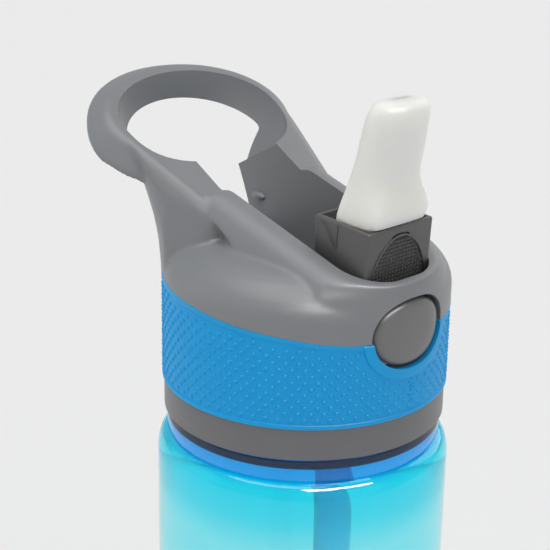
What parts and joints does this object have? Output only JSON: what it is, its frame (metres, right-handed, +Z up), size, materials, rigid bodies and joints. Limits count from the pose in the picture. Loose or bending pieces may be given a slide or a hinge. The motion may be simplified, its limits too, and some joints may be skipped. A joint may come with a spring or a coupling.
{
  "type": "sports drinking bottle",
  "caption": "Translucent sports bottle with a screw lid, push-button flip-up silicone spout, straw, rubber grip band and loop carry handle.",
  "frame": {"origin": "middle of the base, on the surface the bottle stands on", "axes": "+Z up along the bottle's axis; the button and spout face -Y and the loop handle is towards +Y"},
  "size_m": [0.073, 0.0978, 0.2724],
  "materials": {
    "bottle_clear": "clear tinted plastic, polished",
    "lid_dark": "satin moulded",
    "lid_grey": "satin moulded",
    "band_rubber": "soft, fine raised dots",
    "silicone": "matte silicone",
    "straw_clear": "clear plastic",
    "button_grey": "satin moulded",
    "inner_plastic": "natural acetal",
    "spring_steel": "drawn wire",
    "carrier_grey": "satin moulded, knurled thumb panel",
    "spout_silicone": "milky silicone"
  },
  "bodies": {
    "bottle": {"bottle": "bottle_clear"},
    "lid_gasket": {"lid_gasket": "silicone"},
    "lid": {"lid_base": "lid_dark", "lid_shell": "lid_grey", "grip_band": "band_rubber", "vent_valve": "silicone", "stem_seal": "silicone", "straw": "straw_clear", "button_spring": "spring_steel", "spout_tube": "spout_silicone", "hinge_pins": "spring_steel", "hinge_spring": "spring_steel"},
    "button": {"button": "button_grey", "latch_slide": "inner_plastic"},
    "spout_carrier": {"spout_carrier": "carrier_grey", "spout_retainer": "carrier_grey", "spout": "spout_silicone"}
  },
  "joints": [
    {"name": "lid_rise", "type": "slide", "parent": "bottle", "child": "lid_gasket", "axis": [0, 0, 1], "range_m": [0, 0.00563]},
    {"name": "lid_twist", "type": "hinge", "parent": "lid_gasket", "child": "lid", "pos_m": [0, 0, 0.19], "axis": [0, 0, 1], "range_deg": [0, 450]},
    {"name": "button_press", "type": "slide", "parent": "lid", "child": "button", "axis": [0, 1, 0], "range_m": [0, 0.002], "stiffness_N_per_m": 500, "springref_m": -0.001, "deforming": ["button_spring"]},
    {"name": "spout_flip", "type": "hinge", "parent": "lid", "child": "spout_carrier", "pos_m": [0, -0.017, 0.221], "axis": [-1, 0, 0], "range_deg": [0, 90], "stiffness_Nm_per_rad": 0.02, "springref_deg": -28.65, "deforming": ["spout_tube", "hinge_spring"]}
  ],
  "couplings": [
    {"joint": "lid_rise", "follows": "lid_twist", "m_per_rad": 0.0007162}
  ]
}
